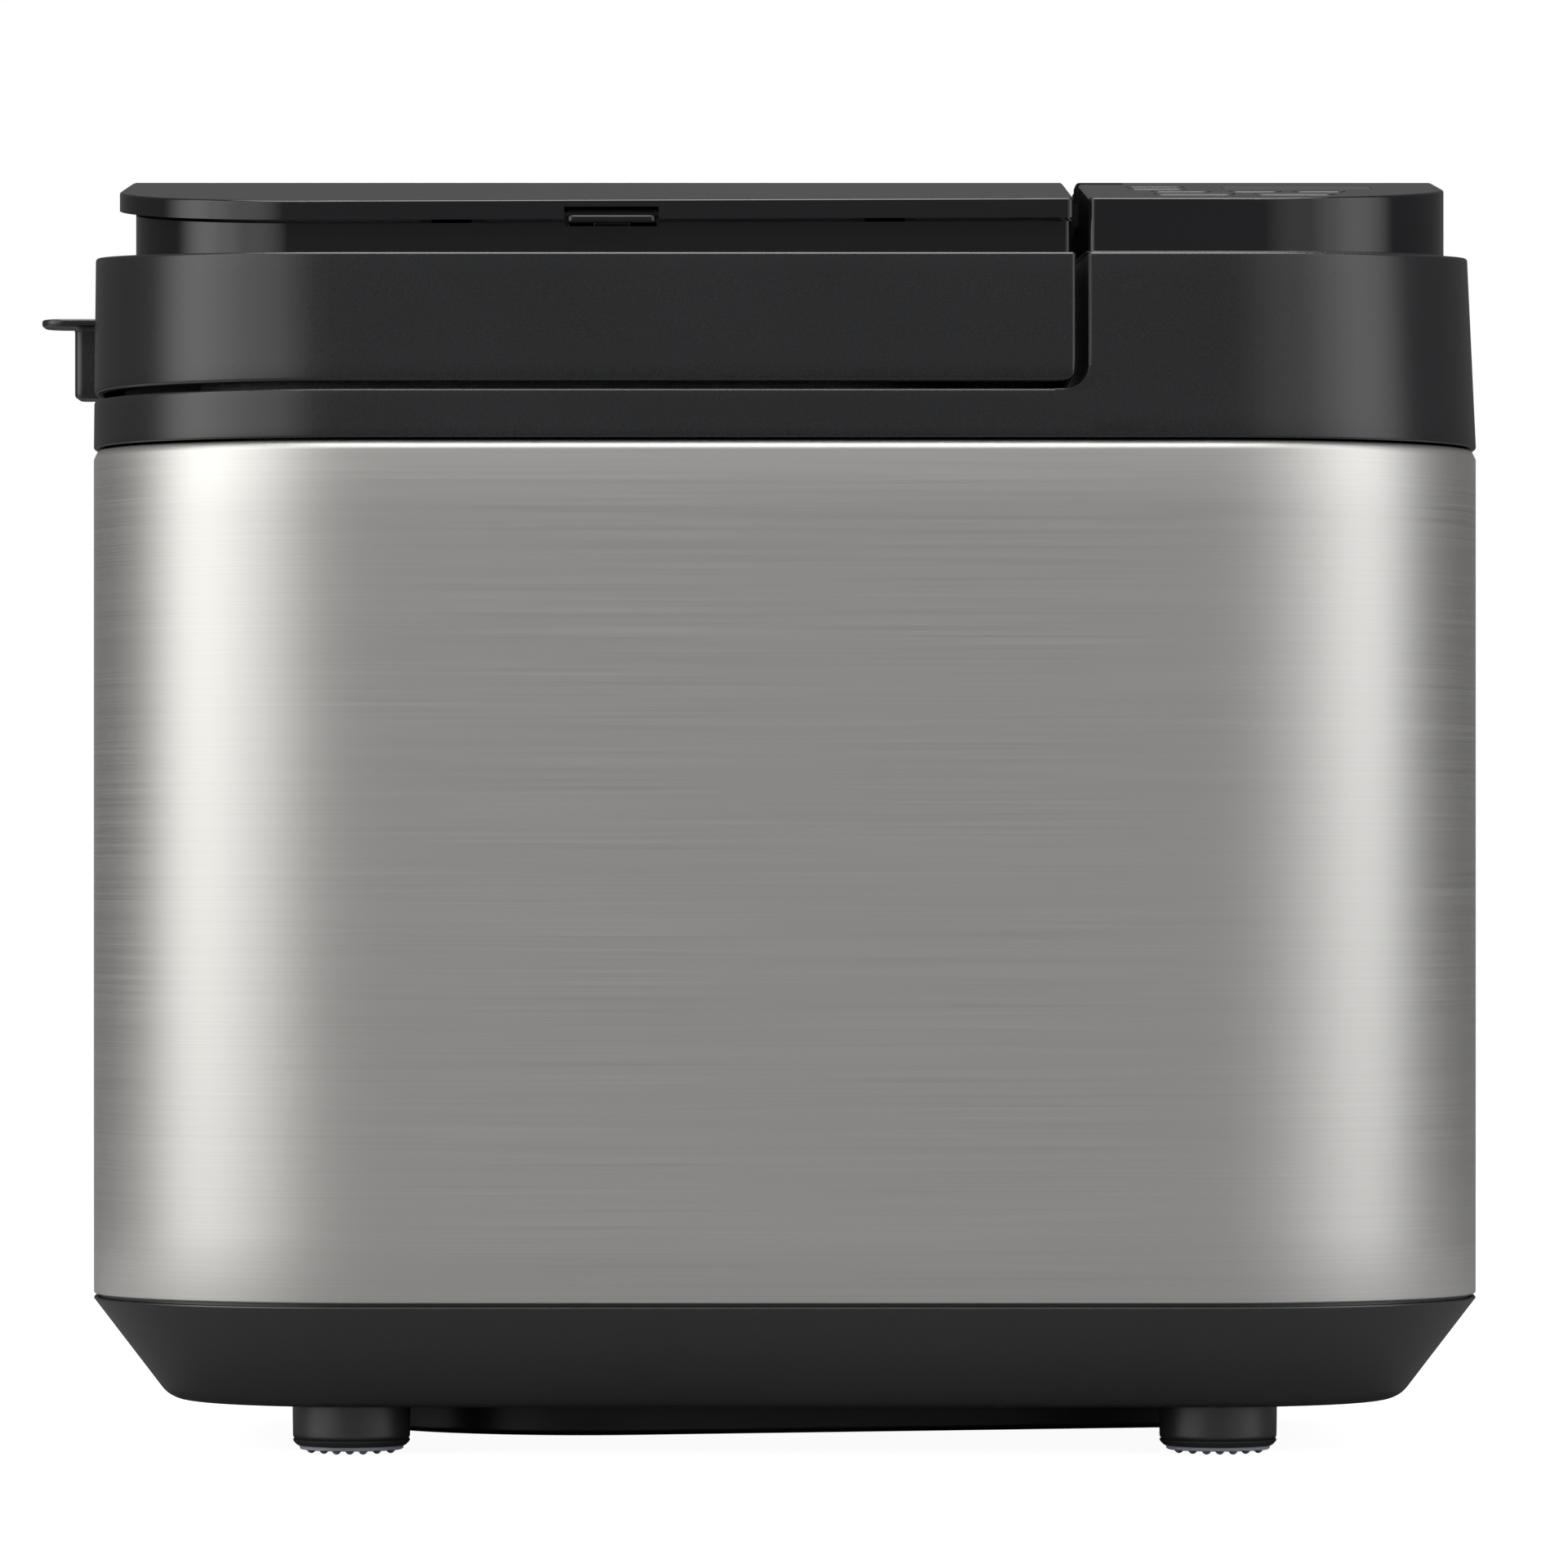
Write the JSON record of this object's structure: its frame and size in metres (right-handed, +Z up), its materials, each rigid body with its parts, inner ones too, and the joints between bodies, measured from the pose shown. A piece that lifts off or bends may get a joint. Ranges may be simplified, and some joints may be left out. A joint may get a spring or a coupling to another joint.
{
  "type": "bread machine",
  "caption": "Countertop bread machine with a steel-wrapped casing, hinged lid with ingredient dispensers, kneading drive, baking chamber, lift-out pan and sloping control panel.",
  "frame": {"origin": "on the surface the foot pads stand on, under the middle of the casing", "axes": "+X to the right seen from the front, +Y to the back, +Z up"},
  "size_m": [0.4106, 0.2549, 0.3635],
  "materials": {
    "matte_band": "fine grain",
    "base_plastic": "fine grain",
    "gloss_black": "polished",
    "dark_plastic": "satin",
    "brushed_wrap": "horizontal brushing",
    "pad_rubber": "soft",
    "lens": "clear",
    "display": "satin",
    "circuit_board": "solder mask",
    "nonstick": "non-stick coat",
    "sheet_steel": "pressed",
    "bright_steel": "polished",
    "alloy": "cast",
    "heater_sheath": "oxidised",
    "belt_rubber": "matte",
    "silicone": "soft",
    "bin_plastic": "satin",
    "button_plastic": "satin",
    "brass_bush": "sintered"
  },
  "bodies": {
    "casing": {"base_cover": "base_plastic", "belt_cover": "dark_plastic", "steel_wrap": "brushed_wrap", "top_frame": "matte_band", "control_block": "gloss_black", "display_lens": "lens", "display_module": "display", "control_pcb": "circuit_board", "hinge_bracket": "sheet_steel", "hinge_pin": "bright_steel", "baking_chamber": "sheet_steel", "pan_socket": "alloy", "heater_element": "heater_sheath", "heater_clips": "sheet_steel", "temperature_sensor": "bright_steel", "chassis_frame": "sheet_steel", "bearing_housing": "alloy", "shaft_bearings": "brass_bush", "drive_belt": "belt_rubber", "motor_can": "sheet_steel", "motor_bushes": "brass_bush", "motor_bracket": "sheet_steel", "power_pcb": "circuit_board", "pcb_bracket": "dark_plastic", "power_gland": "dark_plastic", "feet": "base_plastic", "foot_pads": "pad_rubber"},
    "lid": {"lid_shell": "matte_band", "lid_riser": "gloss_black", "lid_liner": "sheet_steel", "lid_gasket": "silicone", "nut_bin": "bin_plastic", "yeast_cup": "bin_plastic", "lid_handle": "matte_band", "hinge_arms": "sheet_steel", "plate_hinge": "gloss_black"},
    "dispenser": {"dispenser_lid": "gloss_black"},
    "latch": {"lid_latch": "gloss_black"},
    "flap": {"nut_flap": "bin_plastic"},
    "valve": {"yeast_valve": "silicone"},
    "drive": {"large_pulley": "alloy", "drive_shaft": "bright_steel", "drive_dog": "alloy", "driven_dog": "alloy", "blade_spindle": "bright_steel", "kneading_blade": "nonstick"},
    "rotor": {"small_pulley": "alloy", "motor_shaft": "bright_steel", "motor_rotor": "sheet_steel"},
    "pan": {"bread_pan": "nonstick", "pan_foot": "alloy", "pan_bush": "alloy"},
    "bail": {"pan_bail": "bright_steel"},
    "menu_up_button": {"menu_up_button": "button_plastic"},
    "menu_down_button": {"menu_down_button": "button_plastic"},
    "select_button": {"select_button": "button_plastic"},
    "timer_up_button": {"timer_up_button": "button_plastic"},
    "timer_down_button": {"timer_down_button": "button_plastic"},
    "start_button": {"start_button": "button_plastic"},
    "stop_button": {"stop_button": "button_plastic"}
  },
  "joints": [
    {"name": "lid_hinge", "type": "hinge", "parent": "casing", "child": "lid", "pos_m": [0.091, 0.02, 0.355], "axis": [0, 1, 0], "range_deg": [0, 88]},
    {"name": "dispenser_hinge", "type": "hinge", "parent": "lid", "child": "dispenser", "pos_m": [-0.035, 0.1095, 0.349], "axis": [-1, 0, 0], "range_deg": [0, 75]},
    {"name": "latch_press", "type": "slide", "parent": "lid", "child": "latch", "axis": [0, 1, 0], "range_m": [0, 0.0025], "stiffness_N_per_m": 200, "springref_m": -0.002},
    {"name": "flap_hinge", "type": "hinge", "parent": "lid", "child": "flap", "pos_m": [-0.1309, 0, 0.3014], "axis": [0, 1, 0], "range_deg": [0, 80], "stiffness_Nm_per_rad": 0.02, "springref_deg": -51.57},
    {"name": "valve_drop", "type": "slide", "parent": "lid", "child": "valve", "axis": [0, 0, -1], "range_m": [0, 0.005], "stiffness_N_per_m": 60, "springref_m": -0.004},
    {"name": "motor_spin", "type": "hinge", "parent": "casing", "child": "rotor", "pos_m": [0.108, 0, 0.08], "axis": [0, 0, 1], "continuous": true},
    {"name": "drive_spin", "type": "hinge", "parent": "casing", "child": "drive", "pos_m": [-0.057, 0, 0.04], "axis": [0, 0, 1], "continuous": true},
    {"name": "pan_twist", "type": "hinge", "parent": "casing", "child": "pan", "pos_m": [-0.057, 0, 0.082], "axis": [0, 0, 1], "range_deg": [0, 8]},
    {"name": "bail_swing", "type": "hinge", "parent": "pan", "child": "bail", "pos_m": [-0.057, 0, 0.212], "axis": [0, -1, 0], "range_deg": [0, 76]},
    {"name": "menu_up_press", "type": "slide", "parent": "casing", "child": "menu_up_button", "axis": [0, 0.124, -0.9923], "range_m": [0, 0.0006], "stiffness_N_per_m": 300, "springref_m": -0.001},
    {"name": "menu_down_press", "type": "slide", "parent": "casing", "child": "menu_down_button", "axis": [0, 0.124, -0.9923], "range_m": [0, 0.0006], "stiffness_N_per_m": 300, "springref_m": -0.001},
    {"name": "select_press", "type": "slide", "parent": "casing", "child": "select_button", "axis": [0, 0.124, -0.9923], "range_m": [0, 0.0006], "stiffness_N_per_m": 300, "springref_m": -0.001},
    {"name": "timer_up_press", "type": "slide", "parent": "casing", "child": "timer_up_button", "axis": [0, 0.124, -0.9923], "range_m": [0, 0.0006], "stiffness_N_per_m": 300, "springref_m": -0.001},
    {"name": "timer_down_press", "type": "slide", "parent": "casing", "child": "timer_down_button", "axis": [0, 0.124, -0.9923], "range_m": [0, 0.0006], "stiffness_N_per_m": 300, "springref_m": -0.001},
    {"name": "start_press", "type": "slide", "parent": "casing", "child": "start_button", "axis": [0, 0.124, -0.9923], "range_m": [0, 0.0006], "stiffness_N_per_m": 300, "springref_m": -0.001},
    {"name": "stop_press", "type": "slide", "parent": "casing", "child": "stop_button", "axis": [0, 0.124, -0.9923], "range_m": [0, 0.0006], "stiffness_N_per_m": 300, "springref_m": -0.001}
  ],
  "couplings": [
    {"joint": "drive_spin", "follows": "motor_spin", "ratio": 0.16071}
  ]
}
